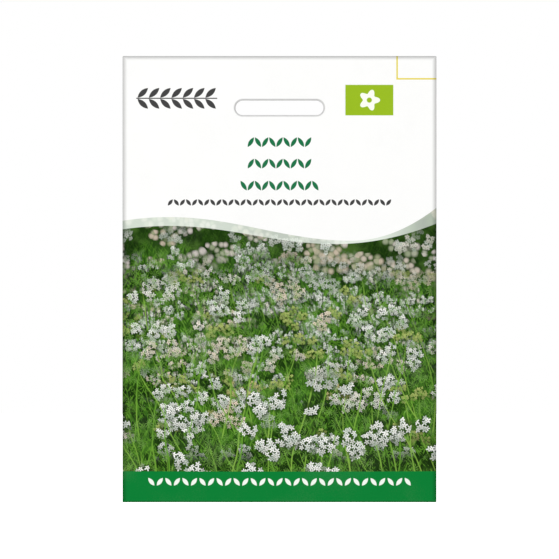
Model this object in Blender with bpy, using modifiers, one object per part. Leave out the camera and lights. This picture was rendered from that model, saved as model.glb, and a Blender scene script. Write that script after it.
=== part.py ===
"""Sealed paper seed packet that hangs by a slot in its header.

The origin is the centre of the hang slot, halfway through the header's layers.
The printed front faces -Y, +Z is up and +X is to the right of someone who
looks at the front. All lengths are in metres.
"""
import math
import random

import bmesh
import bpy
from mathutils import Euler, Vector

# Driving dimensions
WIDTH = 0.114
HEIGHT = 0.162
SLOT_BELOW_TOP = 0.0188
SLOT_LENGTH = 0.0328
SLOT_HEIGHT = 0.0062
HEADER_HEIGHT = 0.033
PAPER = 0.00016
LAYER_PITCH = 0.0004
SIDE_FLAP = 0.012
CLOSING_FLAP = 0.0275
FLAP_CORNER = 0.003
CORNER_RELIEF = 0.0006
FRONT_BULGE = 0.0036
BACK_BULGE = 0.0034
SEED_DIAMETER = 0.0037
SEED_LENGTH_RATIO = 1.05
SEED_ROWS = 6
HEAP_HALF_WIDTH = 0.024
HEAP_ABOVE_FOLD = 0.0165

# Form of the filled pouch: how full it stays towards its sides, how low its fullest
# place lies, and how gently it starts from its ends
SIDE_FULLNESS = 2.4
LOW_FULLNESS = 0.62
END_SOFTNESS = 1.6

# Seeds sink into each other by this share of a diameter, and stray from the pouch's
# middle plane by up to the other share
SEED_OVERLAP = 0.12
SEED_STRAY = 0.06
RANDOM_SEED = 23

PAPER_COLOUR = (0.86, 0.88, 0.84)
HUSK_COLOUR = (0.56, 0.42, 0.24)

# A point this near a fold's start still counts as on the flat panel
ON_LINE = 1e-6

# Layers of the header, counted from the front
FRONT_LAYER, BACK_LAYER, SIDE_LAYER, CLOSING_LAYER = range(4)

# Radii of the three kinds of fold, measured to the middle of the paper
BOTTOM_RADIUS = LAYER_PITCH * (BACK_LAYER - FRONT_LAYER) / 2
SIDE_RADIUS = LAYER_PITCH * (SIDE_LAYER - FRONT_LAYER) / 2
TOP_RADIUS = LAYER_PITCH * (CLOSING_LAYER - FRONT_LAYER) / 2

# Where the flat of the front panel ends and each fold begins
SIDE_X = WIDTH / 2 - SIDE_RADIUS - PAPER / 2
TOP_Z = SLOT_BELOW_TOP - TOP_RADIUS - PAPER / 2
BOTTOM_Z = SLOT_BELOW_TOP - HEIGHT + BOTTOM_RADIUS + PAPER / 2
PANEL_HEIGHT = TOP_Z - BOTTOM_Z
POUCH_TOP_Z = SLOT_BELOW_TOP - HEADER_HEIGHT
FRONT_Y = -TOP_RADIUS

# Facets of the sheet, the slot and a seed
PANEL_COLUMNS = 14
FLAP_COLUMNS = 2
POUCH_ROWS = 18
HEADER_ROWS = 3
FOLD_STEPS = 4
SLOT_SIDES = 28
SEED_SIDES = 7
SEED_RINGS = 5
PUNCH_DEPTH = 0.02


def clear_scene():
    for thing in list(bpy.data.objects):
        bpy.data.objects.remove(thing, do_unlink=True)


def new_collection(name):
    collection = bpy.data.collections.new(name)
    bpy.context.scene.collection.children.link(collection)
    return collection


def plain_material(name, colour, roughness):
    material = bpy.data.materials.new(name)
    material.use_nodes = True
    shader = material.node_tree.nodes["Principled BSDF"]
    shader.inputs["Base Color"].default_value = (*colour, 1.0)
    shader.inputs["Roughness"].default_value = roughness
    shader.inputs["Metallic"].default_value = 0.0
    return material


def pouch_depth(x, z):
    """How far the filled pouch stands out at a place on the packet, from 0 to 1."""
    across = 1 - min(abs(x) / SIDE_X, 1) ** SIDE_FULLNESS
    up = (z - BOTTOM_Z) / (POUCH_TOP_Z - BOTTOM_Z)
    up = min(max(up, 0), 1)
    return across * math.sin(math.pi * up ** LOW_FULLNESS) ** END_SOFTNESS


def layer_y(layer, x, z):
    """Middle of the paper of one layer: the front bulges forward, the rest backward."""
    bulge = -FRONT_BULGE if layer == FRONT_LAYER else BACK_BULGE
    return FRONT_Y + layer * LAYER_PITCH + bulge * pouch_depth(x, z)


def fold_point(u, v):
    """Carry a point of the flat blank to its place on the folded packet.

    u runs across the blank from its middle line, and v runs up it from the
    bottom fold, so the back panel has a negative v.
    """
    bottom_arc = math.pi * BOTTOM_RADIUS
    side_arc = math.pi * SIDE_RADIUS
    top_arc = math.pi * TOP_RADIUS
    side = math.copysign(1, u)
    past_side = abs(u) - SIDE_X
    past_top = v - PANEL_HEIGHT
    if past_side > side_arc:
        inward = past_side - side_arc
        shorten = 1 - inward / SIDE_FLAP * 2 * FLAP_CORNER / PANEL_HEIGHT
        z = BOTTOM_Z + PANEL_HEIGHT / 2 + (v - PANEL_HEIGHT / 2) * shorten
        x = side * (SIDE_X - inward)
        return Vector((x, layer_y(SIDE_LAYER, x, z), z))
    if past_side > ON_LINE:
        angle = past_side / SIDE_RADIUS
        x = side * (SIDE_X + SIDE_RADIUS * math.sin(angle))
        return Vector((x, FRONT_Y + SIDE_RADIUS * (1 - math.cos(angle)), BOTTOM_Z + v))
    if past_top > top_arc:
        down = past_top - top_arc
        x = u * (1 - down / CLOSING_FLAP * FLAP_CORNER / SIDE_X)
        z = TOP_Z - down
        return Vector((x, layer_y(CLOSING_LAYER, x, z), z))
    if past_top > ON_LINE:
        angle = past_top / TOP_RADIUS
        z = TOP_Z + TOP_RADIUS * math.sin(angle)
        return Vector((u, FRONT_Y + TOP_RADIUS * (1 - math.cos(angle)), z))
    if v > -ON_LINE:
        z = BOTTOM_Z + v
        return Vector((u, layer_y(FRONT_LAYER, u, z), z))
    if -v < bottom_arc:
        angle = -v / BOTTOM_RADIUS
        z = BOTTOM_Z - BOTTOM_RADIUS * math.sin(angle)
        return Vector((u, FRONT_Y + BOTTOM_RADIUS * (1 - math.cos(angle)), z))
    z = BOTTOM_Z - v - bottom_arc
    return Vector((u, layer_y(BACK_LAYER, u, z), z))


def crease_lines(*spans):
    """Positions of the grid's lines, from spans that follow on from each other."""
    lines = [spans[0][0]]
    for start, end, steps in spans:
        lines += [start + (end - start) * step / steps for step in range(1, steps + 1)]
    return lines


def blank_lines():
    """Grid lines of the flat blank, across it and up it."""
    side_end = SIDE_X + math.pi * SIDE_RADIUS
    flap_end = side_end + SIDE_FLAP
    across = crease_lines(
        (-flap_end, -side_end, FLAP_COLUMNS),
        (-side_end, -SIDE_X, FOLD_STEPS),
        (-SIDE_X, SIDE_X, PANEL_COLUMNS),
        (SIDE_X, side_end, FOLD_STEPS),
        (side_end, flap_end, FLAP_COLUMNS),
    )
    back_start = -math.pi * BOTTOM_RADIUS
    pouch_height = POUCH_TOP_Z - BOTTOM_Z
    back_end = back_start - PANEL_HEIGHT + CORNER_RELIEF
    top_end = PANEL_HEIGHT + math.pi * TOP_RADIUS
    up = crease_lines(
        (back_end, back_start - pouch_height, HEADER_ROWS),
        (back_start - pouch_height, back_start, POUCH_ROWS),
        (back_start, 0, FOLD_STEPS),
        (0, CORNER_RELIEF, 1),
        (CORNER_RELIEF, pouch_height, POUCH_ROWS),
        (pouch_height, PANEL_HEIGHT - CORNER_RELIEF, HEADER_ROWS),
        (PANEL_HEIGHT - CORNER_RELIEF, PANEL_HEIGHT, 1),
        (PANEL_HEIGHT, top_end, FOLD_STEPS),
        (top_end, top_end + CLOSING_FLAP, HEADER_ROWS),
    )
    return across, up


def on_blank(u, v):
    """Whether the middle of a grid cell is on the blank: only the front has side flaps."""
    return abs(u) < SIDE_X or CORNER_RELIEF < v < PANEL_HEIGHT - CORNER_RELIEF


def make_slot_cutter(collection):
    """A round-ended bar that punches the hang slot through every layer."""
    mesh = bpy.data.meshes.new("hang_slot_punch")
    form = bmesh.new()
    half_gap = (SLOT_LENGTH - SLOT_HEIGHT) / 2
    bmesh.ops.create_cone(
        form, cap_ends=True, segments=SLOT_SIDES, radius1=SLOT_HEIGHT / 2,
        radius2=SLOT_HEIGHT / 2, depth=PUNCH_DEPTH,
    )
    turn = Euler((math.pi / 2, math.pi / SLOT_SIDES, 0), "XYZ").to_matrix()
    bmesh.ops.rotate(form, cent=(0, 0, 0), matrix=turn, verts=form.verts)
    for vert in form.verts:
        vert.co.x += math.copysign(half_gap, vert.co.x)
    form.to_mesh(mesh)
    form.free()
    cutter = bpy.data.objects.new("hang_slot_punch", mesh)
    cutter.hide_render = True
    cutter.display_type = "WIRE"
    collection.objects.link(cutter)
    return cutter


def make_envelope(parts, cutters):
    """Fold the flat blank round the pouch and give the paper its thickness."""
    across, up = blank_lines()
    columns, rows = len(across) - 1, len(up) - 1
    form = bmesh.new()
    bmesh.ops.create_grid(form, x_segments=columns, y_segments=rows, size=0.5)
    for vert in form.verts:
        column = round((vert.co.x + 0.5) * columns)
        row = round((vert.co.y + 0.5) * rows)
        vert.co = (across[column], up[row], 0)
    outside = [face for face in form.faces if not on_blank(*face.calc_center_median().xy)]
    bmesh.ops.delete(form, geom=outside, context="FACES")
    bmesh.ops.triangulate(form, faces=form.faces)
    for vert in form.verts:
        vert.co = fold_point(vert.co.x, vert.co.y)
    mesh = bpy.data.meshes.new("paper_envelope")
    form.to_mesh(mesh)
    form.free()
    envelope = bpy.data.objects.new("paper_envelope", mesh)
    parts.objects.link(envelope)
    mesh.materials.append(plain_material("printed_paper", PAPER_COLOUR, 0.5))
    sheet = envelope.modifiers.new("paper thickness", "SOLIDIFY")
    sheet.thickness = PAPER
    sheet.offset = 0
    slot = envelope.modifiers.new("hang slot", "BOOLEAN")
    slot.operation = "DIFFERENCE"
    slot.solver = "EXACT"
    slot.object = make_slot_cutter(cutters)
    return envelope


def seed_places(chance):
    """Centres of the seeds: close rows in the fullest part of the pouch."""
    pitch = SEED_DIAMETER * (1 - SEED_OVERLAP)
    places = []
    for row in range(SEED_ROWS):
        z = BOTTOM_Z + HEAP_ABOVE_FOLD + row * pitch * math.sqrt(3) / 2
        half_width = HEAP_HALF_WIDTH * math.sqrt(1 - (row / SEED_ROWS) ** 2)
        shift = pitch / 2 if row % 2 else 0
        reach = int((half_width - shift) / pitch)
        for step in range(-reach, reach + 1):
            x = step * pitch + shift
            middle = (layer_y(FRONT_LAYER, x, z) + layer_y(BACK_LAYER, x, z)) / 2
            y = middle + chance.uniform(-SEED_STRAY, SEED_STRAY) * SEED_DIAMETER
            places.append(Vector((x, y, z)))
    return places


def make_seed(name, place, chance, collection):
    """One fruit: a ball, a little longer than wide, turned at random."""
    mesh = bpy.data.meshes.new(name)
    form = bmesh.new()
    bmesh.ops.create_uvsphere(
        form, u_segments=SEED_SIDES, v_segments=SEED_RINGS, radius=SEED_DIAMETER / 2,
    )
    bmesh.ops.scale(form, vec=(1, 1, SEED_LENGTH_RATIO), verts=form.verts)
    turn = Euler([chance.uniform(0, math.tau) for _ in range(3)]).to_matrix()
    bmesh.ops.rotate(form, cent=(0, 0, 0), matrix=turn, verts=form.verts)
    bmesh.ops.translate(form, vec=place, verts=form.verts)
    form.to_mesh(mesh)
    form.free()
    seed = bpy.data.objects.new(name, mesh)
    collection.objects.link(seed)
    return seed


def make_seeds(parts, cutters):
    """The seed fill: a heap of fruits that touch, joined into one body."""
    chance = random.Random(RANDOM_SEED)
    first, *others = seed_places(chance)
    heap = make_seed("seed_fill", first, chance, parts)
    loose = bpy.data.collections.new("loose_seeds")
    cutters.children.link(loose)
    for number, place in enumerate(others):
        make_seed(f"loose_seed_{number}", place, chance, loose)
    join = heap.modifiers.new("join seeds", "BOOLEAN")
    join.operation = "UNION"
    join.solver = "EXACT"
    join.operand_type = "COLLECTION"
    join.collection = loose
    depsgraph = bpy.context.evaluated_depsgraph_get()
    joined = bpy.data.meshes.new_from_object(heap.evaluated_get(depsgraph))
    heap.modifiers.clear()
    heap.data = joined
    for seed in list(loose.objects):
        bpy.data.objects.remove(seed, do_unlink=True)
    bpy.data.collections.remove(loose)
    joined.materials.clear()
    joined.materials.append(plain_material("coriander_fruit", HUSK_COLOUR, 0.7))
    joined.shade_smooth()
    return heap


def main():
    clear_scene()
    parts = new_collection("seed_packet")
    cutters = new_collection("cutters")
    make_envelope(parts, cutters)
    make_seeds(parts, cutters)


main()
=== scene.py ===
"""Finish of a paper seed packet: folded printed sheet, seeds, studio stage.

Lengths are in metres, as in the frame. The patterns of the print are laid out
in millimetres from the centre of the hang slot: x to the right, z up.
"""

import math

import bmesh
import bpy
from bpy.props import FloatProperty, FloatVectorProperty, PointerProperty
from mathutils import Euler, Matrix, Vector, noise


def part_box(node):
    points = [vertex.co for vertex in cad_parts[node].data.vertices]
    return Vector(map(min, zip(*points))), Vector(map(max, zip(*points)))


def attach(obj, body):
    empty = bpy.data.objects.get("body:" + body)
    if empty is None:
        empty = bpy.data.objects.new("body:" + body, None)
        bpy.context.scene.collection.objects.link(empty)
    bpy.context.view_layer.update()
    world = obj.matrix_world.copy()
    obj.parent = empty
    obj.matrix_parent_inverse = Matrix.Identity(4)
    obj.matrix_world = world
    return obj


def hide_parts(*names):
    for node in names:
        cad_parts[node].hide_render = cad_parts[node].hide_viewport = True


bl_info = {
    "name": "Seed Packet Finish",
    "version": (1, 0, 0),
    "blender": (4, 5, 0),
    "location": "View3D > Sidebar > Seed Packet",
    "description": "Folds the printed paper of a seed packet and sets it in a plain studio",
    "category": "Object",
}

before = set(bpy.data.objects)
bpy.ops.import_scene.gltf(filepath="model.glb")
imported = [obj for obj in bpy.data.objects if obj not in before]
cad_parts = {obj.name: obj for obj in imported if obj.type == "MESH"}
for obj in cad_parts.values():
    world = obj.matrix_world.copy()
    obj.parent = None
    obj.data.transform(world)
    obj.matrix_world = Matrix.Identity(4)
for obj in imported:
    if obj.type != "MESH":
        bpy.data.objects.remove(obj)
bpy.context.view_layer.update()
ENVELOPE = "paper_envelope"
SEEDS = "seed_fill"
LOW, HIGH = (Vector(corner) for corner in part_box(ENVELOPE))
MM = 0.001

# Edges of the packet in millimetres
LEFT, RIGHT, FOOT, TOP = LOW.x / MM, HIGH.x / MM, LOW.z / MM, HIGH.z / MM

# Layers of the header, counted from the front, as the sheet is folded
FRONT_LAYER, BACK_LAYER, SIDE_LAYER, CLOSING_LAYER = range(4)
FOLD_STEPS = 8

# Kinds of group sockets, and a Mix node's sockets when it blends colours
NUMBER, VECTOR = "NodeSocketFloat", "NodeSocketVector"
MIX_FIRST, MIX_SECOND, MIX_RESULT = 6, 7, 2


def ink(red, green, blue):
    """Linear colour of a printed tone given as 0 to 255."""
    tones = (red / 255, green / 255, blue / 255)
    return tuple(t / 12.92 if t < 0.04045 else ((t + 0.055) / 1.055) ** 2.4 for t in tones)


def length(name, description, default):
    return FloatProperty(name=name, description=description, default=default, unit="LENGTH")


def amount(name, description, default):
    return FloatProperty(name=name, description=description, default=default, min=0)


def colour(name, description, *tones):
    return FloatVectorProperty(
        name=name, description=description, default=ink(*tones), subtype="COLOR", size=3,
        min=0, max=1,
    )


class PaperSizes(bpy.types.PropertyGroup):
    """Sizes of the folded sheet"""

    paper: length("Paper", "Thickness of the paper", 0.00016)
    pitch: length("Layer pitch", "Distance between neighbouring layers of the header", 0.0004)
    side_flap: length("Side flap", "Width of the two glued side flaps", 0.012)
    closing_flap: length("Closing flap", "Height of the flap folded over the top", 0.0275)
    flap_corner: length("Flap corner", "How far the flaps taper to their free edges", 0.003)
    relief: length("Corner relief", "Gap between the side folds and the ends", 0.0006)
    header: length("Header", "Height of the flat glued header", 0.033)
    front_bulge: length("Front bulge", "How far the filled pouch stands out in front", 0.0036)
    back_bulge: length("Back bulge", "How far the filled pouch stands out behind", 0.0034)
    slot_length: length("Slot length", "Length of the hang slot", 0.0328)
    slot_height: length("Slot height", "Height of the hang slot", 0.0062)
    slot_lip: length("Slot lip", "How far the layers behind show in the slot", 0.00045)
    buckle: length("Buckle", "Height of the paper's slow waves", 0.0005)
    pucker: length("Pucker", "Height of the short creases along the folds", 0.00055)
    seed_relief: length("Seed relief", "How far the seeds press through the paper", 0.0002)
    cell: length("Cell", "Edge of the sheet's grid cells", 0.0013)


class PrintInks(bpy.types.PropertyGroup):
    """Colours of the paper and the print"""

    paper: colour("Paper", "Coated white paper", 247, 247, 246)
    band: colour("Foot band", "Green band along the foot", 3, 122, 50)
    badge: colour("Badge", "Small lime block", 150, 184, 34)
    title: colour("Title rows", "Green leaf chains of the header", 28, 112, 70)
    emblem: colour("Emblem", "Dark grey sprig and small leaf row", 66, 66, 66)
    corner: colour("Corner lines", "Thin golden lines of the corner box", 226, 210, 76)
    deep: colour("Deep shade", "Darkest green of the herb bed", 16, 42, 2)
    leaf: colour("Leaf green", "Middle green of the herb bed", 62, 112, 28)
    bright: colour("Bright green", "Sunlit stems and leaf tips", 136, 176, 72)
    petal: colour("Petals", "White petals", 246, 246, 243)
    cream: colour("Cream petals", "Warmer petals", 234, 216, 198)


class StageSettings(bpy.types.PropertyGroup):
    """Camera and lights"""

    lens: amount("Focal length", "Focal length in millimetres", 135)
    frame_width: length("Frame width", "Width of the view at the packet's header", 0.20285)
    camera_drop: length("Camera drop", "How far the camera is below the middle", 0.00015)
    key: amount("Key light", "Power in watts", 7.4)
    fill: amount("Fill light", "Power in watts", 2.4)
    back_key: amount("Back light", "Power in watts of the slanting light behind", 5.0)
    floor_glow: amount("Floor glow", "Strength of the light from the pale floor", 0.42)
    surround: amount("Surround", "Strength of the white surroundings", 0.48)
    floor_drop: length("Floor drop", "Distance of the floor below the packet", 0.16)


# Shader arithmetic

INK_EDGE = 0.08  # half the softness of a printed motif's edge, in millimetres

class Field:
    """A number that varies over a surface; the usual operators add Math nodes."""

    def __init__(self, socket):
        self.socket = socket
        self.tree = socket.id_data

    def do(self, operation, *others):
        node = self.tree.nodes.new("ShaderNodeMath")
        node.operation = operation
        for place, value in zip(node.inputs, (self, *others)):
            feed(place, value)
        return Field(node.outputs[0])

    def __add__(self, other):
        return self.do("ADD", other)

    def __sub__(self, other):
        return self.do("SUBTRACT", other)

    def __mul__(self, other):
        return self.do("MULTIPLY", other)

    def __truediv__(self, other):
        return self.do("DIVIDE", other)

    def __neg__(self):
        return self * -1

    def __abs__(self):
        return self.do("ABSOLUTE")

    def inverse(self):
        """One minus the number."""
        return (self * -1) + 1

    def rise(self, low, high):
        """A smooth step from 0 at low to 1 at high."""
        node = self.tree.nodes.new("ShaderNodeMapRange")
        node.interpolation_type = "SMOOTHSTEP"
        node.clamp = False
        for name, value in (("Value", self), ("From Min", low), ("From Max", high)):
            feed(node.inputs[name], value)
        return Field(node.outputs[0])


def feed(place, value):
    """Give an input socket its value, or link it to the socket that makes the value."""
    if isinstance(value, Field):
        value = value.socket
    if isinstance(value, bpy.types.NodeSocket):
        place.id_data.links.new(value, place)
    elif place.type == "RGBA" and len(value) == 3:
        place.default_value = (*value, 1)
    else:
        place.default_value = value


def split(vector):
    """The three numbers of a vector or colour socket, as fields."""
    kind = "ShaderNodeSeparateColor" if vector.type == "RGBA" else "ShaderNodeSeparateXYZ"
    node = vector.id_data.nodes.new(kind)
    feed(node.inputs[0], vector)
    return [Field(output) for output in node.outputs]


def join(tree, x, y, z=0.0):
    node = tree.nodes.new("ShaderNodeCombineXYZ")
    for place, value in zip(node.inputs, (x, y, z)):
        feed(place, value)
    return node.outputs[0]


def mix(factor, first, second):
    """Blend two colours by a field."""
    node = factor.tree.nodes.new("ShaderNodeMix")
    node.data_type = "RGBA"
    feed(node.inputs["Factor"], factor)
    feed(node.inputs[MIX_FIRST], first)
    feed(node.inputs[MIX_SECOND], second)
    return node.outputs[MIX_RESULT]


def speckle(vector, scale, detail=2.0):
    """Smooth noise from 0 to 1, with scale waves in a millimetre."""
    node = vector.id_data.nodes.new("ShaderNodeTexNoise")
    feed(node.inputs["Vector"], vector)
    node.inputs["Scale"].default_value = scale
    node.inputs["Detail"].default_value = detail
    return Field(node.outputs[0])


def nearest(vector, cell, randomness=0.95, dimensions="2D"):
    """Scattered points about a cell apart: distance in cells, random colour, position."""
    tree = vector.id_data if isinstance(vector, bpy.types.NodeSocket) else vector.tree
    node = tree.nodes.new("ShaderNodeTexVoronoi")
    node.voronoi_dimensions = dimensions
    feed(node.inputs["W" if dimensions == "1D" else "Vector"], vector)
    node.inputs["Randomness"].default_value = randomness
    scale = cell.do("POWER", -1) if isinstance(cell, Field) else 1 / cell
    feed(node.inputs["Scale"], scale)
    where = node.outputs["W" if dimensions == "1D" else "Position"]
    return Field(node.outputs["Distance"]), node.outputs["Color"], where


def new_group(name, inputs, outputs):
    """An empty shader node group with named sockets: its tree, inputs and output node."""
    tree = bpy.data.node_groups.new(name, "ShaderNodeTree")
    for socket_name, kind, default in inputs:
        socket = tree.interface.new_socket(socket_name, in_out="INPUT", socket_type=kind)
        if default is not None:
            socket.default_value = default
    for socket_name, kind in outputs:
        tree.interface.new_socket(socket_name, in_out="OUTPUT", socket_type=kind)
    entry = tree.nodes.new("NodeGroupInput")
    leave = tree.nodes.new("NodeGroupOutput")
    return tree, entry.outputs, leave.inputs


def use_group(tree, name, **values):
    """Place a node group; underscores in the names of the values stand for spaces."""
    node = tree.nodes.new("ShaderNodeGroup")
    node.node_tree = bpy.data.node_groups[name]
    for socket_name, value in values.items():
        feed(node.inputs[socket_name.replace("_", " ")], value)
    return node.outputs


def make_rosette_group():
    """Scattered rosettes: petals round a middle, as florets or as fans of thin leaves."""
    tree, given, result = new_group(
        "Rosettes",
        [("Place", VECTOR, None), ("Cell", NUMBER, 2.0), ("Petals", NUMBER, 5.0),
         ("Notch", NUMBER, 0.5), ("Thin", NUMBER, 1.0), ("Reach", NUMBER, 0.5),
         ("Blur", NUMBER, 0.05)],
        [("Mask", NUMBER), ("Chance", NUMBER), ("Radius", NUMBER), ("Middle", VECTOR)],
    )
    smallest, variety = 0.75, 0.4
    distance, colour_socket, middle = nearest(given["Place"], Field(given["Cell"]))
    chance, size, spin = split(colour_socket)
    offset = tree.nodes.new("ShaderNodeVectorMath")
    offset.operation = "SUBTRACT"
    feed(offset.inputs[0], given["Place"])
    feed(offset.inputs[1], middle)
    across, up, _ = split(offset.outputs[0])
    angle = up.do("ARCTAN2", across)
    ray = ((angle * Field(given["Petals"]) + spin * math.tau).do("COSINE") + 1) * 0.5
    ray = ray.do("POWER", Field(given["Thin"]))
    edge = (ray.inverse() * Field(given["Notch"])).inverse() * Field(given["Reach"])
    edge = edge * (size * variety + smallest)
    blur = Field(given["Blur"])
    feed(result["Mask"], (edge - distance).rise(-blur, blur))
    feed(result["Chance"], chance)
    feed(result["Radius"], distance)
    feed(result["Middle"], middle)


def make_strand_group():
    """Long thin stems that lean one way, start and stop, and sway a little."""
    tree, given, result = new_group(
        "Stems",
        [("Place", VECTOR, None), ("Lean", NUMBER, 0.2), ("Spacing", NUMBER, 4.0),
         ("Width", NUMBER, 0.4), ("Blur", NUMBER, 0.1), ("Share", NUMBER, 0.5)],
        [("Mask", NUMBER), ("Chance", NUMBER)],
    )
    sway_reach, thinnest, variety = 9, 0.7, 0.6
    per_millimetre, stem_step, tip = 0.035, 5, 0.03
    across, up, _ = split(given["Place"])
    sway = (speckle(given["Place"], per_millimetre, 1.0) - 0.5) * sway_reach
    line = across + up * Field(given["Lean"]) + sway
    spacing = Field(given["Spacing"])
    distance, colour_socket, middle = nearest(line, spacing, 1.0, "1D")
    chance, second, _ = split(colour_socket)
    width = Field(given["Width"]) * (second * variety + thinnest)
    blur = Field(given["Blur"])
    body = (width - distance * spacing).rise(-blur, blur)
    run = speckle(join(tree, Field(middle) * stem_step, up * per_millimetre), 1.0, 0.0)
    rare = Field(given["Share"]).inverse()
    shown = run.rise(rare, rare + tip)
    feed(result["Mask"], body * shown)
    feed(result["Chance"], chance)


def make_chain_group():
    """A row of leaves, all tilted alike or to one side and the other in turn."""
    tree, given, result = new_group(
        "Leaf chain",
        [("Along", NUMBER, 0.0), ("Across", NUMBER, 0.0), ("Pitch", NUMBER, 2.5),
         ("Reach", NUMBER, 12.0), ("Leaf length", NUMBER, 1.6), ("Leaf width", NUMBER, 0.6),
         ("Tilt", NUMBER, 0.8), ("Alternate", NUMBER, 1.0)],
        [("Mask", NUMBER)],
    )
    along, across, pitch = (Field(given[name]) for name in ("Along", "Across", "Pitch"))
    step = (along / pitch).do("ROUND")
    turn = (step.do("PINGPONG", 1.0) * Field(given["Alternate"]) * -2) + 1
    x = along - step * pitch
    y = across * turn
    cosine = Field(given["Tilt"]).do("COSINE")
    sine = Field(given["Tilt"]).do("SINE")
    lengthwise = (x * cosine + y * sine) / Field(given["Leaf length"])
    sideways = abs(y * cosine - x * sine)
    rim = (lengthwise * lengthwise).inverse() * Field(given["Leaf width"])
    within = (abs(step * pitch) - Field(given["Reach"])).rise(0.01, -0.01)
    feed(result["Mask"], (rim - sideways).rise(-INK_EDGE, INK_EDGE) * within)


def make_paper_group():
    """Grain and slow unevenness of coated paper."""
    tree, given, result = new_group(
        "Paper", [("Place", VECTOR, None)],
        [("Height", NUMBER), ("Tone", NUMBER), ("Roughness", NUMBER)],
    )
    place = given["Place"]
    fibre_height, fibre_tone, cloud_tone = 0.25, 0.02, 0.03
    roughness, variety = 0.36, 0.08
    fibre = speckle(place, 2.2, 4.0)
    wave = speckle(place, 0.3)
    cloud = speckle(place, 0.05)
    feed(result["Height"], fibre * fibre_height + wave)
    feed(result["Tone"], (cloud - 0.5) * cloud_tone + (fibre - 0.5) * fibre_tone + 1)
    feed(result["Roughness"], fibre * variety + cloud * variety + roughness)


# Print of the front, in millimetres: a box is left, right, low, high, a leaf is half its length
# and half its width, and a row's reach is half of its length
BADGE_BOX = (23.9, 41.3, -2.8, 8.3)
BADGE_FLOWER = {"centre_x": 32.6, "centre_z": 2.75, "radius": 3.9}
CORNER_X, CORNER_Z, CORNER_LINE = 42.4, 10.2, 0.55
SIDE_BLEED, TOP_BLEED = 2, 1
SPRIG_X, SPRIG_Z, SPRIG_ROW_GAP = -37.3, 3.4, 2.0
SPRIG_STALK_BOX = (-52.0, -22.6, 3.2, 3.6)
SPRIG = {"reach": 12.5, "pitch": 4.1, "leaf": (2.6, 0.95), "tilt": 0.75, "alternate": 0.0}
TITLE = {"pitch": 2.6, "leaf": (2.1, 0.74), "tilt": 1.0}
TITLE_ROWS = ((-12.5, 11.0), (-20.3, 11.0), (-28.3, 13.5))  # height, reach
SMALL_ROW_Z = -34.4
SMALL_ROW = {"reach": 39.8, "pitch": 2.2, "leaf": (1.45, 0.6), "tilt": 0.9}
FOOT_ROW_Z = FOOT + 7.5
FOOT_ROW = {"reach": 46.8, "pitch": 3.1, "leaf": (1.75, 0.72), "tilt": 0.9}
FRONT_BAND, BACK_BAND = 11.3, 8.0
WAVE_CREST = 40  # left of the slot's middle


def leaf_row(page, along, across, tone, reach, pitch, leaf, tilt, alternate=1.0):
    """Print a level row of leaves about the place where along and across are 0."""
    long, wide = leaf
    chain = use_group(
        along.tree, "Leaf chain", Along=along, Across=across, Pitch=pitch, Reach=reach,
        Leaf_length=long, Leaf_width=wide, Tilt=tilt, Alternate=alternate,
    )
    return mix(Field(chain["Mask"]), page, tone)


def in_box(x, z, left, right, low, high, edge=0.05):
    """1 inside a rectangle, with edges about as soft as printed ones."""
    wide = (abs(x - (left + right) / 2) - (right - left) / 2).rise(edge, -edge)
    tall = (abs(z - (low + high) / 2) - (high - low) / 2).rise(edge, -edge)
    return wide * tall


def header_edge(x, start, drop, low_at, tail):
    """Height of a wave that falls to the right, then rises by tail past its lowest place."""
    left = x.do("MINIMUM", low_at)
    per_millimetre = math.pi / (low_at + WAVE_CREST)
    wave = ((left + WAVE_CREST) * per_millimetre).do("COSINE") * (drop / 2)
    past = (x - low_at).do("MAXIMUM", 0.0) / (RIGHT - low_at)
    return wave + start + past * past * tail


def cluster_share(middle, cluster, share):
    """How surely a flower head belongs to a cluster, and the cluster's random colour."""
    flatness, slope, variety = 1.9, 0.2, 0.3
    x, z, _ = split(middle)
    flat = join(middle.id_data, x, z * flatness + x * slope)
    gap, chances, _ = nearest(flat, cluster)
    chance, warmth, _ = split(chances)
    return (chance * variety + share - variety / 2 - gap).rise(0, 0.03), warmth


def zone_between(z, low, high, soft=5.0):
    """1 between two heights, with soft ends."""
    return z.rise(low - soft, low + soft) * (z * -1).rise(-high - soft, -high + soft)


def florets(colour_now, place, tones, floret, head, cluster, share, blur, shift, low, high, bright):
    """Paint one depth of flower heads between two heights: florets in heads, heads in clusters.

    Florets, heads and clusters are that many millimetres apart, and shift moves the pattern.
    """
    shadow, middle_tone, low_side = ink(20, 46, 4), ink(112, 122, 60), ink(54, 78, 34)
    tree = place.id_data
    x, z, _ = split(place)
    moved = join(tree, x + shift, z + shift * 2)
    _, _, own_middle = nearest(moved, head)
    own_share, _ = cluster_share(own_middle, cluster, share)
    own_x, own_z, _ = split(own_middle)
    own_gap = (own_z - z - shift * 2) / head
    aside = (own_x - x - shift) / head
    zone = zone_between(z, low, high)
    under = (own_gap * own_gap + aside * aside).rise(0.42, 0.1) * zone * own_share
    colour_now = mix(under * 0.75, colour_now, shadow)
    rosette = use_group(
        tree, "Rosettes", Place=moved, Cell=floret, Petals=5.0, Notch=0.75 - blur * 0.9,
        Thin=0.9, Reach=0.74, Blur=blur,
    )
    head_gap, _, head_middle = nearest(rosette["Middle"], head)
    full, warmth = cluster_share(head_middle, cluster, share)
    round_head = (head_gap * -1 + 0.5).rise(0, 0.04)
    mask = Field(rosette["Mask"]) * full * round_head * zone
    light, warm, cool = tones
    petal = mix(warmth.rise(0.55, 0.9), light, warm)
    petal = mix(Field(rosette["Chance"]).rise(0.35, 1.0) * 0.7, petal, cool)
    heart = (Field(rosette["Radius"]) * -1 + 0.17).rise(0, 0.1) * 0.8
    petal = mix(heart, petal, middle_tone)
    shade = (own_gap.rise(-0.4, 0.55) * -0.5 + 1) * bright
    petal = mix(shade.inverse(), petal, low_side)
    return mix(mask, colour_now, petal)


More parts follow.
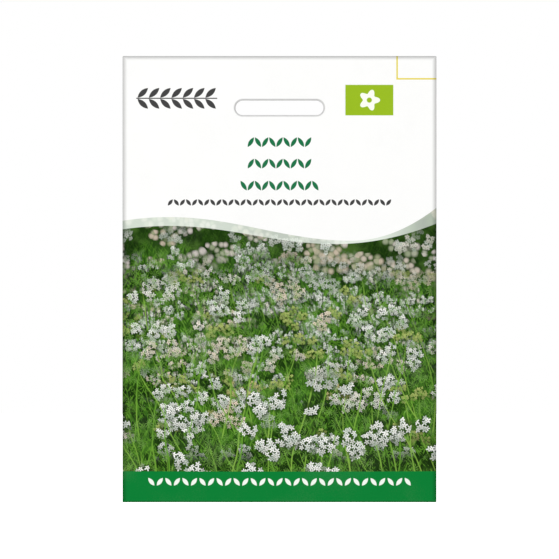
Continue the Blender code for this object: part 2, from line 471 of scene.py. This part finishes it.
def blooms(colour_now, place, tones, cell, cluster, share, shift, low, high):
    """Paint flower heads out of focus: soft discs in flat clusters."""
    smallest, variety, strength = 0.3, 0.16, 0.85
    x, z, _ = split(place)
    moved = join(place.id_data, x + shift, z + shift * 2)
    gap, chances, middle = nearest(moved, cell)
    chance, size, _ = split(chances)
    full, warmth = cluster_share(middle, cluster, share)
    disc = (size * variety + smallest - gap).rise(-0.3, 0.24)
    light, warm, cool = tones
    tone = mix(warmth.rise(0.4, 0.9), light, warm)
    tone = mix(chance.rise(0.3, 1.0) * 0.8, tone, cool)
    return mix(disc * full * zone_between(z, low, high) * strength, colour_now, tone)


def fans(colour_now, place, where, first, second, cell, fingers, thin, blur, shift, share):
    """Paint one depth of feathery leaves: small fans of thin fingers."""
    narrower, notch, reach = 1.1, 0.97, 1.05
    tree = place.id_data
    x, z, _ = split(place)
    moved = join(tree, x * narrower + shift, z - shift)
    rosette = use_group(
        tree, "Rosettes", Place=moved, Cell=cell, Petals=fingers, Notch=notch, Thin=thin,
        Reach=reach, Blur=blur,
    )
    chance = Field(rosette["Chance"])
    light = speckle(rosette["Middle"], 0.09, 1.0).rise(0.35, 0.68)
    tone = mix((chance * 0.6 + light * 0.5).do("MINIMUM", 1.0), first, second)
    shown = (chance + share).rise(0.95, 1.0) * where
    return mix(Field(rosette["Mask"]) * shown, colour_now, tone)


def streaks(colour_now, place, where, tone, lean, fine, long, low, high):
    """Paint fine leaf needles that run one way: stretched noise, from low to high."""
    tree = place.id_data
    x, z, _ = split(place)
    needles = join(tree, (x + z * lean) * fine, (z - x * lean) / long)
    return mix(speckle(needles, 1.0, 3.0).rise(low, high) * where, colour_now, tone)


def stems(colour_now, place, first, second, lean, spacing, width, share, shift, top):
    """Paint one slant of stems, which fade in below the height top."""
    blur, fade, strength = 0.1, 14, 0.85
    tree = place.id_data
    x, z, _ = split(place)
    strand = use_group(
        tree, "Stems", Place=join(tree, x + shift, z), Lean=lean, Spacing=spacing,
        Width=width, Blur=blur, Share=share,
    )
    zone = (z * -1).rise(-top, -top + fade)
    tone = mix(Field(strand["Chance"]), first, second)
    return mix(Field(strand["Mask"]) * zone * strength, colour_now, tone)


def herb_bed(place, inks):
    """The printed picture: a bed of feathery herbs in flower, dark and hazy at the back."""
    leaf, bright, deep = inks.leaf, inks.bright, inks.deep
    dim, fresh, pale = ink(36, 78, 14), ink(96, 150, 44), ink(132, 174, 90)
    lit_ground, haze_tone = ink(56, 104, 24), ink(100, 140, 60)
    white = (inks.petal, inks.cream, ink(194, 206, 198))
    hazy = (ink(214, 204, 200), ink(206, 188, 168), ink(132, 150, 108))
    buds = (ink(182, 194, 112), ink(204, 190, 132), ink(142, 166, 80))
    horizon, horizon_wave, horizon_slope = 37, 44, 0.08

    x, z, _ = split(place)
    slow = speckle(place, 0.045, 3.0)
    far = (z + slow * horizon_wave + x * horizon_slope + horizon).rise(-7, 9)
    near = far * -0.9 + 1
    pool = speckle(join(place.id_data, x + 90, z * 1.5), 0.05, 1.0).rise(0.52, 0.36)

    lit = speckle(place, 0.06, 1.0).rise(0.4, 0.6)
    picture = mix(lit * near * 0.9, deep, lit_ground)
    haze = speckle(place, 0.16).rise(0.45, 0.75)
    picture = mix(haze * 0.35, picture, haze_tone)

    # From the back of the bed to its front
    picture = blooms(
        picture, place, hazy, cell=2.1, cluster=17.0, share=0.34, shift=83.0, low=-78, high=-26,
    )
    picture = blooms(
        picture, place, hazy, cell=2.7, cluster=21.0, share=0.36, shift=61.0, low=-70, high=-26,
    )
    picture = florets(
        picture, place, white, floret=1.5, head=4.4, cluster=20.0, share=0.38, blur=0.34,
        shift=5.0, low=-88, high=-46, bright=0.87,
    )
    picture = streaks(
        picture, place, near * 0.7, leaf, lean=0.35, fine=0.9, long=6.0, low=0.5, high=0.62,
    )
    picture = fans(
        picture, place, near * 0.7, dim, leaf, cell=4.4, fingers=8, thin=4.0, blur=0.12,
        shift=3.1, share=0.4,
    )
    picture = mix(pool * near * 0.92, picture, deep)
    picture = florets(
        picture, place, white, floret=1.15, head=3.0, cluster=15.0, share=0.4, blur=0.16,
        shift=7.0, low=-104, high=-56, bright=0.86,
    )
    picture = streaks(
        picture, place, near * 0.6, fresh, lean=-0.5, fine=1.3, long=5.0, low=0.54, high=0.62,
    )
    picture = streaks(
        picture, place, near * 0.8, deep, lean=0.1, fine=1.1, long=4.0, low=0.53, high=0.6,
    )
    picture = stems(
        picture, place, leaf, bright, lean=0.28, spacing=5.5, width=0.2, share=0.55, shift=3.0,
        top=-58,
    )
    picture = fans(
        picture, place, near * 0.8, dim, fresh, cell=3.2, fingers=9, thin=6.0, blur=0.08,
        shift=11.7, share=0.3,
    )
    picture = florets(
        picture, place, buds, floret=1.0, head=3.2, cluster=21.0, share=0.22, blur=0.14,
        shift=53.0, low=-120, high=-60, bright=0.95,
    )
    picture = florets(
        picture, place, white, floret=1.35, head=5.0, cluster=22.0, share=0.41, blur=0.09,
        shift=31.0, low=-124, high=-62, bright=0.97,
    )
    picture = streaks(
        picture, place, near * 0.7, fresh, lean=0.9, fine=1.5, long=4.0, low=0.57, high=0.63,
    )
    picture = stems(
        picture, place, fresh, bright, lean=-0.2, spacing=7.0, width=0.24, share=0.6, shift=17.0,
        top=-80,
    )
    picture = stems(
        picture, place, fresh, bright, lean=0.5, spacing=9.0, width=0.22, share=0.55, shift=41.0,
        top=-86,
    )
    picture = fans(
        picture, place, near * 0.8, leaf, pale, cell=2.4, fingers=9, thin=7.0, blur=0.07,
        shift=23.0, share=0.28,
    )
    picture = stems(
        picture, place, fresh, bright, lean=0.06, spacing=6.5, width=0.26, share=0.5, shift=29.0,
        top=-100,
    )
    return florets(
        picture, place, white, floret=1.7, head=6.2, cluster=24.0, share=0.36, blur=0.07,
        shift=71.0, low=-146, high=-98, bright=1.0,
    )


def five_petals(x, z, centre_x, centre_z, radius):
    """A plain round-petalled flower with an open middle."""
    wave, heart_share = 0.2, 0.24
    dx = x - centre_x
    dz = z - centre_z
    angle = dz.do("ARCTAN2", dx)
    distance = (dx * dx + dz * dz).do("SQRT")
    edge = ((angle * 5).do("COSINE") * wave + (1 - wave)) * radius
    petals = (edge - distance).rise(-INK_EDGE, INK_EDGE)
    heart = (distance * -1 + radius * heart_share).rise(-INK_EDGE, INK_EDGE)
    return petals * heart.inverse()


def slot_gap(x, z, sizes):
    """Distance in millimetres from the rim of the hang slot."""
    half = (sizes.slot_length - sizes.slot_height) / 2 / MM
    side = (abs(x) - half).do("MAXIMUM", 0.0)
    return (side * side + z * z).do("SQRT") - sizes.slot_height / 2 / MM


def band_below(z, height, edge=0.05):
    """1 in the band that reaches so many millimetres up from the foot."""
    return (z * -1).rise(-FOOT - height - edge, -FOOT - height + edge)


def front_print(place, inks):
    """Colours of the printed front, from the place on the sheet in millimetres."""
    veil_tone, foot_tone, flower_tone = ink(236, 245, 234), ink(238, 244, 236), ink(246, 250, 238)
    x, z, _ = split(place)
    picture = herb_bed(place, inks)
    white_edge = header_edge(x, start=-44.0, drop=8.6, low_at=26, tail=12.0)
    veil_edge = header_edge(x, start=-46.2, drop=6.6, low_at=20, tail=7.5)
    veil = (z - veil_edge).rise(-0.05, 0.05)
    thinner = x.rise(-22, -2) * -0.12 + x.rise(34, 54) * -0.4
    veil_strength = x.rise(12, 26) * 0.26 + thinner + 0.72
    page = mix(veil * veil_strength, picture, veil_tone)
    page = mix((z - white_edge).rise(-0.06, 0.06), page, inks.paper)
    page = mix(band_below(z, FRONT_BAND), page, inks.band)

    for height, reach in TITLE_ROWS:
        page = leaf_row(page, x, z - height, inks.title, reach, **TITLE)
    page = leaf_row(page, x, z - SMALL_ROW_Z, inks.emblem, **SMALL_ROW)
    page = leaf_row(page, x, z - FOOT_ROW_Z, foot_tone, **FOOT_ROW)

    page = mix(in_box(x, z, *BADGE_BOX), page, inks.badge)
    page = mix(five_petals(x, z, **BADGE_FLOWER), page, flower_tone)
    mirrored = abs(z - SPRIG_Z) - SPRIG_ROW_GAP
    page = leaf_row(page, x - SPRIG_X, mirrored, inks.emblem, **SPRIG)
    page = mix(in_box(x, z, *SPRIG_STALK_BOX), page, inks.emblem)
    upright = in_box(x, z, CORNER_X, CORNER_X + CORNER_LINE, CORNER_Z, TOP + TOP_BLEED)
    page = mix(upright, page, inks.corner)
    level = in_box(x, z, CORNER_X, RIGHT + SIDE_BLEED, CORNER_Z, CORNER_Z + CORNER_LINE)
    return mix(level, page, inks.corner)


def painted_edge_shade(x, z):
    """Painted shade along the rims of the sheet, darkest at the edge and fading inward."""
    side_rim, top_rim, foot_rim = 2.0, 1.8, 1.0
    side = (abs(x) * -1 + RIGHT).rise(side_rim, 0.0)
    over = (z * -1 + TOP).rise(top_rim, 0.0)
    under = (z - FOOT).rise(foot_rim, 0.0)
    return side.do("MAXIMUM", over).do("MAXIMUM", under)


def add_bump(shader, height, strength, distance):
    """Let a height from 0 to 1 raise the surface by up to a distance in metres."""
    bump = shader.id_data.nodes.new("ShaderNodeBump")
    bump.inputs["Strength"].default_value = strength
    bump.inputs["Distance"].default_value = distance
    feed(bump.inputs["Height"], height)
    feed(shader.inputs["Normal"], bump.outputs[0])


def object_place(tree):
    """The place on the piece in millimetres, with z second, as the flat patterns want it."""
    coordinates = tree.nodes.new("ShaderNodeTexCoord")
    x, y, z = split(coordinates.outputs["Object"])
    return join(tree, x / MM, z / MM, y / MM)


# Painted shade along the folded and cut edges, and the look of the paper's surface
PAINTED_EDGE_SHADE, PAINTED_SLOT_SHADE = 0.42, 0.24
FRONT_SLOT_SHADE_WIDTH, BACK_SLOT_SHADE_WIDTH = 0.3, 1.6
BACK_ROUGHER = 0.05
GRAIN_STRENGTH, GRAIN_HEIGHT = 0.12, 0.00012
SHEEN = 0.05
BLACK = ink(0, 0, 0)


def paper_material(name, sizes, paint, slot_shade_width, rougher=0.0):
    """Coated paper with a print and painted shade at its edges and hang slot: paint returns its
    colour for a place in millimetres.
    """
    uneven_tone, uneven_share = ink(170, 168, 160), 4
    material = bpy.data.materials.new(name)
    material.use_nodes = True
    tree = material.node_tree
    shader = tree.nodes["Principled BSDF"]
    place = object_place(tree)
    x, z, _ = split(place)
    grain = use_group(tree, "Paper", Place=place)
    page = paint(place)
    # Painted shade: the sheet darkens toward its folded edges
    page = mix(painted_edge_shade(x, z) * PAINTED_EDGE_SHADE, page, BLACK)
    # Painted shade round the hang slot, a soft shadow on the paper there, wider on the layers
    # behind
    page = mix(slot_gap(x, z, sizes).rise(slot_shade_width, 0.0) * PAINTED_SLOT_SHADE, page, BLACK)
    page = mix(Field(grain["Tone"]).inverse() * uneven_share, page, uneven_tone)
    feed(shader.inputs["Base Color"], page)
    feed(shader.inputs["Roughness"], Field(grain["Roughness"]) + rougher)
    shader.inputs["Specular IOR Level"].default_value = SHEEN
    add_bump(shader, grain["Height"], GRAIN_STRENGTH, GRAIN_HEIGHT)
    return material


# Print of the back: a title, rows of marks that end unevenly, twelve boxes for the months
BACK_TITLE_Z = -20
BACK_TITLE = {"reach": 27.0, "pitch": 2.65, "leaf": (1.75, 0.62), "tilt": 0.9}
NOTE_ROWS, NOTE_TOP, NOTE_PITCH = 9, 30, 4.4
NOTE_REACH, NOTE_SHORTER, NOTE_TURN, NOTE_KINDS = 33.0, 2.2, 7, 5
NOTE = {"pitch": 1.9, "leaf": (0.8, 0.32), "tilt": 0.0}
MONTH_PITCH, MONTH_GAP = 5.4, 0.3
MONTHS_LOW, MONTHS_HIGH = -92, -84


def back_print(place, inks):
    """Colours of the back: white paper, pale rows of marks, a strip of twelve boxes."""
    note_tone, month_tone = ink(110, 114, 108), ink(206, 222, 200)
    x, z, _ = split(place)
    page = mix(band_below(z, BACK_BAND), inks.paper, inks.band)
    for row in range(NOTE_ROWS):
        reach = NOTE_REACH - (row * NOTE_TURN % NOTE_KINDS) * NOTE_SHORTER
        page = leaf_row(page, x, z + NOTE_TOP + row * NOTE_PITCH, note_tone, reach, **NOTE)
    page = leaf_row(page, x, z - BACK_TITLE_Z, inks.title, **BACK_TITLE)
    step = (x / MONTH_PITCH + 0.5).do("ROUND") - 0.5
    half = MONTH_PITCH / 2
    inside = (abs(x - step * MONTH_PITCH) * -1 + half - MONTH_GAP).rise(-0.05, 0.05)
    strip = inside * in_box(x, z, -6 * MONTH_PITCH, 6 * MONTH_PITCH, MONTHS_LOW, MONTHS_HIGH)
    sown = in_box(x, z, -3 * MONTH_PITCH, 2 * MONTH_PITCH, MONTHS_LOW - 1, MONTHS_HIGH + 1)
    page = mix(strip, page, month_tone)
    return mix(strip * sown, page, inks.badge)


# Folding the sheet

def rolled(distance, start, radius):
    """Bend what runs past start into an arc: how far it reaches now, and how deep it sinks."""
    angle = (distance - start) / radius
    if angle < 1e-4:
        return distance, 0.0
    return start + radius * math.sin(angle), radius * (1 - math.cos(angle))


# How the filled pouch swells, and its unevenness: waves per metre, across and up, and places
SIDE_FULLNESS, FOOT_FULLNESS, END_SOFTNESS = 2.4, 0.62, 1.6
BUCKLE_WAVES = (34, 26)
SIDE_WAVES, SIDE_REACH = (22, 105), 0.012
END_WAVES = (105, 22)
TOP_PUCKER, TOP_REACH = 0.011, 0.012
FOOT_PUCKER, FOOT_REACH = 0.005, 0.008
HEAP_DEPTH, HEAP_WIDE, HEAP_TALL = 0.118, 0.032, 0.017
SEED_PITCH, SEED_RIM = 0.0042, 0.62


def bell(distance, reach, power=2):
    """1 at no distance, falling to 0 past the reach."""
    return math.exp(-((distance / reach) ** power))


def waves(x, z, per_metre, layer):
    """Smooth waves from -1 to 1."""
    return noise.noise(Vector((x * per_metre[0], z * per_metre[1], layer)))


class Fold:
    """The folded sheet's geometry: where a point of each panel ends up."""

    def __init__(self, sizes):
        self.sizes = sizes
        self.side_radius = sizes.pitch * (SIDE_LAYER - FRONT_LAYER) / 2
        self.bottom_radius = sizes.pitch * (BACK_LAYER - FRONT_LAYER) / 2
        self.top_radius = sizes.pitch * (CLOSING_LAYER - FRONT_LAYER) / 2
        self.side_x = HIGH.x - self.side_radius - sizes.paper / 2
        self.top_z = HIGH.z - self.top_radius - sizes.paper / 2
        self.bottom_z = LOW.z + self.bottom_radius + sizes.paper / 2
        self.front_y = -self.top_radius
        self.pouch_top = HIGH.z - sizes.header

    def depth(self, x, z):
        """How far the filled pouch stands out, from 0 to 1."""
        across = 1 - min(abs(x) / self.side_x, 1) ** SIDE_FULLNESS
        up = (z - self.bottom_z) / (self.pouch_top - self.bottom_z)
        up = min(max(up, 0), 1)
        return across * math.sin(math.pi * up ** FOOT_FULLNESS) ** END_SOFTNESS

    def unevenness(self, x, z, side):
        """Slow buckles of filled paper, puckers along its folds, faint relief of the seeds."""
        sizes = self.sizes
        fade = min(self.depth(x, z) * 3, 1)
        buckle = waves(x, z, BUCKLE_WAVES, side * 9.0)
        inward = self.side_x - abs(x)
        along_sides = waves(x, z, SIDE_WAVES, side * 5.0 + 3) * bell(inward, SIDE_REACH, 1)
        near_ends = bell(z - self.pouch_top + TOP_PUCKER, TOP_REACH)
        near_ends += bell(z - self.bottom_z - FOOT_PUCKER, FOOT_REACH)
        along_ends = waves(x, z, END_WAVES, side * 7.0 + 5) * near_ends
        heap = bell(x, HEAP_WIDE, 4) * bell(z + HEAP_DEPTH, HEAP_TALL, 4)
        gap = noise.voronoi(Vector((x / SEED_PITCH, z / SEED_PITCH, side * 5.0)))[0][0]
        seeds = heap * max(0.0, 1 - gap / SEED_RIM)
        height = buckle * sizes.buckle + (along_sides + along_ends) * sizes.pucker
        return fade * (height + seeds * sizes.seed_relief)

    def layer_y(self, layer, x, z):
        """Middle of the paper of one layer."""
        sizes = self.sizes
        level = self.front_y + layer * sizes.pitch
        depth = self.depth(x, z)
        if layer == FRONT_LAYER:
            return level - sizes.front_bulge * depth - self.unevenness(x, z, 0)
        return level + sizes.back_bulge * depth + self.unevenness(x, z, 1)

    def front(self, u, v):
        """Front panel with its rolled edges: u, v run past the flat of the panel."""
        x, side_sunk = rolled(abs(u), self.side_x, self.side_radius)
        z, top_sunk = rolled(v, self.top_z, self.top_radius)
        z, foot_sunk = rolled(-z, -self.bottom_z, self.bottom_radius)
        x, z = math.copysign(x, u), -z
        sunk = side_sunk + top_sunk + foot_sunk
        return Vector((x, self.layer_y(FRONT_LAYER, x, z) + sunk, z))

    def back(self, u, v):
        return Vector((u, self.layer_y(BACK_LAYER, u, v), v))

    def side_flap(self, u, v):
        """A side flap, narrower in height towards its free edge; u is x."""
        inward = self.side_x - abs(u)
        middle = (self.top_z + self.bottom_z) / 2
        taper = 1 - inward / self.sizes.side_flap * 2 * self.sizes.flap_corner / (HIGH.z - LOW.z)
        z = middle + (v - middle) * taper
        return Vector((u, self.layer_y(SIDE_LAYER, u, z), z))

    def closing(self, u, v):
        down = self.top_z - v
        x = u * (1 - down / self.sizes.closing_flap * self.sizes.flap_corner / self.side_x)
        return Vector((x, self.layer_y(CLOSING_LAYER, x, v), v))


def span(start, end, cell):
    """Evenly spaced lines from start to end, about a cell apart."""
    steps = max(1, round(abs(end - start) / cell))
    return [start + (end - start) * step / steps for step in range(steps + 1)]


def sheet(name, across, up, place, sizes, faces_front, keep=None):
    """A closed thin sheet: a grid over the lines given, bent by place."""
    form = bmesh.new()
    columns, rows = len(across) - 1, len(up) - 1
    bmesh.ops.create_grid(form, x_segments=columns, y_segments=rows, size=0.5)
    for vert in form.verts:
        column = round((vert.co.x + 0.5) * columns)
        row = round((vert.co.y + 0.5) * rows)
        vert.co = (across[column], up[row], 0)
    if keep:
        outside = [face for face in form.faces if not keep(*face.calc_center_median().xy)]
        bmesh.ops.delete(form, geom=outside, context="FACES")
    for vert in form.verts:
        vert.co = place(vert.co.x, vert.co.y)
    form.normal_update()
    turned = sum(face.normal.y * face.calc_area() for face in form.faces)
    if (turned > 0) == faces_front:
        bmesh.ops.reverse_faces(form, faces=form.faces)
    mesh = bpy.data.meshes.new(name)
    form.to_mesh(mesh)
    form.free()
    piece = bpy.data.objects.new(name, mesh)
    bpy.context.scene.collection.objects.link(piece)
    thickness = piece.modifiers.new("paper thickness", "SOLIDIFY")
    thickness.thickness = sizes.paper
    thickness.offset = 0
    thickness.use_even_offset = True
    return piece


def settle(piece):
    """Make the modifiers' result the piece's own mesh."""
    sharp_from = math.radians(40)
    depsgraph = bpy.context.evaluated_depsgraph_get()
    mesh = bpy.data.meshes.new_from_object(piece.evaluated_get(depsgraph))
    piece.modifiers.clear()
    piece.data = mesh
    mesh.shade_smooth()
    mesh.set_sharp_from_angle(angle=sharp_from)


def punch_slot(piece, sizes, lip=0.0):
    """Cut the round-ended hang slot through a sheet; a lip makes the cut smaller all round."""
    segments, punch_depth = 44, 0.02
    radius = sizes.slot_height / 2 - lip
    form = bmesh.new()
    bmesh.ops.create_cone(
        form, cap_ends=True, segments=segments, radius1=radius, radius2=radius,
        depth=punch_depth,
    )
    turn = Euler((math.pi / 2, math.pi / segments, 0), "XYZ").to_matrix()
    bmesh.ops.rotate(form, cent=(0, 0, 0), matrix=turn, verts=form.verts)
    for vert in form.verts:
        vert.co.x += math.copysign((sizes.slot_length - sizes.slot_height) / 2, vert.co.x)
    mesh = bpy.data.meshes.new("slot_punch")
    form.to_mesh(mesh)
    form.free()
    punch = bpy.data.objects.new("slot_punch", mesh)
    bpy.context.scene.collection.objects.link(punch)
    cut = piece.modifiers.new("hang slot", "BOOLEAN")
    cut.operation = "DIFFERENCE"
    cut.object = punch
    settle(piece)
    bpy.data.objects.remove(punch, do_unlink=True)
    bpy.data.meshes.remove(mesh)


def lay_map(mesh):
    """Give a sheet its own map, flat from side to side and from foot to top, for the export."""
    corners = [mesh.vertices[loop.vertex_index].co for loop in mesh.loops]
    left, right = min(co.x for co in corners), max(co.x for co in corners)
    foot, top = min(co.z for co in corners), max(co.z for co in corners)
    layer = mesh.uv_layers.new(name="OFBake")
    for spot, co in zip(layer.uv, corners):
        spot.vector = ((co.x - left) / (right - left), (co.z - foot) / (top - foot))


def finish_piece(piece, material, node):
    lay_map(piece.data)
    piece.data.materials.clear()
    piece.data.materials.append(material)
    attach(piece, "root")
    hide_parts(node)


class PACKET_OT_finishes(bpy.types.Operator):
    """Build the shared pattern groups of the paper and its print"""

    bl_idname = "packet.finishes"
    bl_label = "Shared Patterns"

    def execute(self, context):
        make_rosette_group()
        make_strand_group()
        make_chain_group()
        make_paper_group()
        return {"FINISHED"}


class PACKET_OT_front(bpy.types.Operator):
    """Fold the printed front panel with its rolled edges and its hang slot"""

    bl_idname = "packet.front"
    bl_label = "Printed Front"

    def execute(self, context):
        sizes, inks = context.scene.packet_sizes, context.scene.packet_inks
        fold = Fold(sizes)
        side_arc = math.pi * fold.side_radius
        top_arc = math.pi * fold.top_radius
        foot_arc = math.pi * fold.bottom_radius
        relief = sizes.relief
        across = span(-fold.side_x - side_arc, -fold.side_x, side_arc / FOLD_STEPS)
        across += span(-fold.side_x, fold.side_x, sizes.cell)[1:]
        across += span(fold.side_x, fold.side_x + side_arc, side_arc / FOLD_STEPS)[1:]
        up = span(fold.bottom_z - foot_arc, fold.bottom_z, foot_arc / FOLD_STEPS)
        up += [fold.bottom_z + relief]
        up += span(fold.bottom_z + relief, fold.top_z - relief, sizes.cell)[1:]
        up += [fold.top_z]
        up += span(fold.top_z, fold.top_z + top_arc, top_arc / FOLD_STEPS)[1:]

        def keep(u, v):
            corner = abs(u) < fold.side_x + side_arc / 2
            corner = corner and fold.bottom_z - foot_arc / 2 < v < fold.top_z + top_arc / 2
            flap = fold.bottom_z + relief < v < fold.top_z - relief
            return abs(u) < fold.side_x or flap or corner

        piece = sheet("printed_front", across, up, fold.front, sizes, True, keep)
        punch_slot(piece, sizes)
        material = paper_material(
            "front print", sizes, lambda place: front_print(place, inks), FRONT_SLOT_SHADE_WIDTH
        )
        finish_piece(piece, material, ENVELOPE)
        return {"FINISHED"}


class PACKET_OT_back(bpy.types.Operator):
    """Lay the back panel behind the pouch, up from the bottom fold"""

    bl_idname = "packet.back"
    bl_label = "Back Panel"

    def execute(self, context):
        sizes, inks = context.scene.packet_sizes, context.scene.packet_inks
        fold = Fold(sizes)
        across = span(-fold.side_x, fold.side_x, sizes.cell)
        up = span(fold.bottom_z, fold.top_z - sizes.relief, sizes.cell)
        piece = sheet("back_panel", across, up, fold.back, sizes, False)
        punch_slot(piece, sizes, sizes.slot_lip)
        material = paper_material(
            "back print", sizes, lambda place: back_print(place, inks), BACK_SLOT_SHADE_WIDTH,
            BACK_ROUGHER,
        )
        finish_piece(piece, material, ENVELOPE)
        return {"FINISHED"}


class PACKET_OT_flaps(bpy.types.Operator):
    """Fold the two side flaps and the closing flap over the back"""

    bl_idname = "packet.flaps"
    bl_label = "Glued Flaps"

    def execute(self, context):
        sizes, inks = context.scene.packet_sizes, context.scene.packet_inks
        fold = Fold(sizes)
        material = paper_material(
            "flap paper", sizes, lambda place: inks.paper, BACK_SLOT_SHADE_WIDTH, BACK_ROUGHER
        )
        up = span(fold.bottom_z + sizes.relief, fold.top_z - sizes.relief, sizes.cell)
        for name, side in (("side_flap_left", -1), ("side_flap_right", 1)):
            across = span(fold.side_x * side, (fold.side_x - sizes.side_flap) * side, sizes.cell)
            piece = sheet(name, across, up, fold.side_flap, sizes, False)
            settle(piece)
            finish_piece(piece, material, ENVELOPE)
        across = span(-fold.side_x, fold.side_x, sizes.cell)
        up = span(fold.top_z - sizes.closing_flap, fold.top_z, sizes.cell)
        piece = sheet("closing_flap", across, up, fold.closing, sizes, False)
        punch_slot(piece, sizes, sizes.slot_lip)
        finish_piece(piece, material, ENVELOPE)
        return {"FINISHED"}


class PACKET_OT_seeds(bpy.types.Operator):
    """Give the seeds in the pouch a dry, mottled husk with a faint bumpy surface"""

    bl_idname = "packet.seeds"
    bl_label = "Seed Husks"

    def execute(self, context):
        material = bpy.data.materials.new("seed husk")
        material.use_nodes = True
        tree = material.node_tree
        shader = tree.nodes["Principled BSDF"]
        brown, straw = ink(146, 108, 62), ink(206, 172, 116)
        roughness, variety, ridge = 0.55, 0.2, 0.0002
        mottle = speckle(object_place(tree), 1.6, 4.0)
        feed(shader.inputs["Base Color"], mix(mottle.rise(0.3, 0.7), brown, straw))
        feed(shader.inputs["Roughness"], mottle * variety + roughness)
        add_bump(shader, mottle, 1.0, ridge)
        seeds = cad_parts[SEEDS]
        seeds.data.materials.clear()
        seeds.data.materials.append(material)
        return {"FINISHED"}


# The studio: places of the lamps from the slot and widths of their discs, in metres
KEY_PLACE, KEY_WIDTH = (-0.85, -0.8, 0.75), 0.7
FILL_PLACE, FILL_WIDTH = (0.8, -0.9, 0.2), 0.9
BACK_KEY_PLACE, BACK_KEY_WIDTH = (1.15, 0.75, 0.6), 0.5
FLOOR_SIZE, FLOOR_ROUGHNESS = 3.0, 0.9
FLOOR_TONE = (0.86, 0.86, 0.85, 1)
WHITE = (1, 1, 1, 1)
SEEN_WHITE = 1.0


def strength_by_ray(tree, seen, given):
    """One strength for what the camera sees directly, another for the light it gives."""
    rays = tree.nodes.new("ShaderNodeLightPath")
    return Field(rays.outputs["Is Camera Ray"]) * (seen - given) + given


def area_light(name, place, target, width, power):
    light = bpy.data.lights.new(name, "AREA")
    light.shape = "DISK"
    light.size = width
    light.energy = power
    lamp = bpy.data.objects.new(name, light)
    lamp.location = place
    lamp.rotation_euler = (Vector(target) - Vector(place)).to_track_quat("-Z", "Y").to_euler()
    bpy.context.scene.collection.objects.link(lamp)


def level_camera(scene, sizes, stage, centre):
    """A camera straight in front, as far off as its lens needs for the frame's width."""
    camera_data = bpy.data.cameras.new("packet camera")
    camera_data.lens = stage.lens
    distance = stage.frame_width * stage.lens / camera_data.sensor_width
    header_y = Fold(sizes).front_y - sizes.paper / 2
    camera = bpy.data.objects.new("packet camera", camera_data)
    camera.location = (centre.x, header_y - distance, centre.z - stage.camera_drop)
    camera.rotation_euler = (math.pi / 2, 0, 0)
    scene.collection.objects.link(camera)
    scene.camera = camera


def pale_floor(scene, stage):
    form = bmesh.new()
    bmesh.ops.create_grid(form, x_segments=2, y_segments=2, size=FLOOR_SIZE)
    bmesh.ops.translate(form, vec=(0, 0, LOW.z - stage.floor_drop), verts=form.verts)
    mesh = bpy.data.meshes.new("floor")
    form.to_mesh(mesh)
    form.free()
    floor = bpy.data.objects.new("floor", mesh)
    material = bpy.data.materials.new("pale floor")
    material.use_nodes = True
    shader = material.node_tree.nodes["Principled BSDF"]
    shader.inputs["Base Color"].default_value = FLOOR_TONE
    shader.inputs["Roughness"].default_value = FLOOR_ROUGHNESS
    shader.inputs["Emission Color"].default_value = WHITE
    glow = strength_by_ray(material.node_tree, SEEN_WHITE, stage.floor_glow)
    feed(shader.inputs["Emission Strength"], glow)
    mesh.materials.append(material)
    scene.collection.objects.link(floor)


def white_surround(scene, stage):
    world = bpy.data.worlds.new("white studio")
    world.use_nodes = True
    background = world.node_tree.nodes["Background"]
    background.inputs["Color"].default_value = WHITE
    glow = strength_by_ray(world.node_tree, SEEN_WHITE, stage.surround)
    feed(background.inputs["Strength"], glow)
    scene.world = world


class PACKET_OT_stage(bpy.types.Operator):
    """Set the camera, the soft lights, the white surroundings and the pale floor"""

    bl_idname = "packet.stage"
    bl_label = "Studio Stage"

    def execute(self, context):
        scene = context.scene
        stage = scene.packet_stage
        centre = (LOW + HIGH) / 2
        level_camera(scene, scene.packet_sizes, stage, centre)
        area_light("key", KEY_PLACE, centre, KEY_WIDTH, stage.key)
        area_light("fill", FILL_PLACE, centre, FILL_WIDTH, stage.fill)
        area_light("back key", BACK_KEY_PLACE, centre, BACK_KEY_WIDTH, stage.back_key)
        pale_floor(scene, stage)
        white_surround(scene, stage)
        scene.view_settings.view_transform = "Standard"
        return {"FINISHED"}


STEPS = (
    PACKET_OT_finishes, PACKET_OT_front, PACKET_OT_back, PACKET_OT_flaps, PACKET_OT_seeds,
    PACKET_OT_stage,
)


class PACKET_PT_sidebar(bpy.types.Panel):
    """Settings and steps of the seed packet's finish"""

    bl_label = "Seed Packet"
    bl_idname = "PACKET_PT_sidebar"
    bl_space_type = "VIEW_3D"
    bl_region_type = "UI"
    bl_category = "Seed Packet"

    def draw(self, context):
        scene = context.scene
        for group in (scene.packet_sizes, scene.packet_inks, scene.packet_stage):
            column = self.layout.column(align=True)
            for name in group.__annotations__:
                column.prop(group, name)
        for step in STEPS:
            self.layout.operator(step.bl_idname)


CLASSES = (PaperSizes, PrintInks, StageSettings, *STEPS, PACKET_PT_sidebar)


def register():
    for entry in CLASSES:
        bpy.utils.register_class(entry)
    bpy.types.Scene.packet_sizes = PointerProperty(type=PaperSizes)
    bpy.types.Scene.packet_inks = PointerProperty(type=PrintInks)
    bpy.types.Scene.packet_stage = PointerProperty(type=StageSettings)


def unregister():
    del bpy.types.Scene.packet_stage
    del bpy.types.Scene.packet_inks
    del bpy.types.Scene.packet_sizes
    for entry in reversed(CLASSES):
        bpy.utils.unregister_class(entry)


def main():
    register()
    bpy.ops.packet.finishes()
    bpy.ops.packet.front()
    bpy.ops.packet.back()
    bpy.ops.packet.flaps()
    bpy.ops.packet.seeds()
    bpy.ops.packet.stage()


if __name__ == "__main__":
    main()
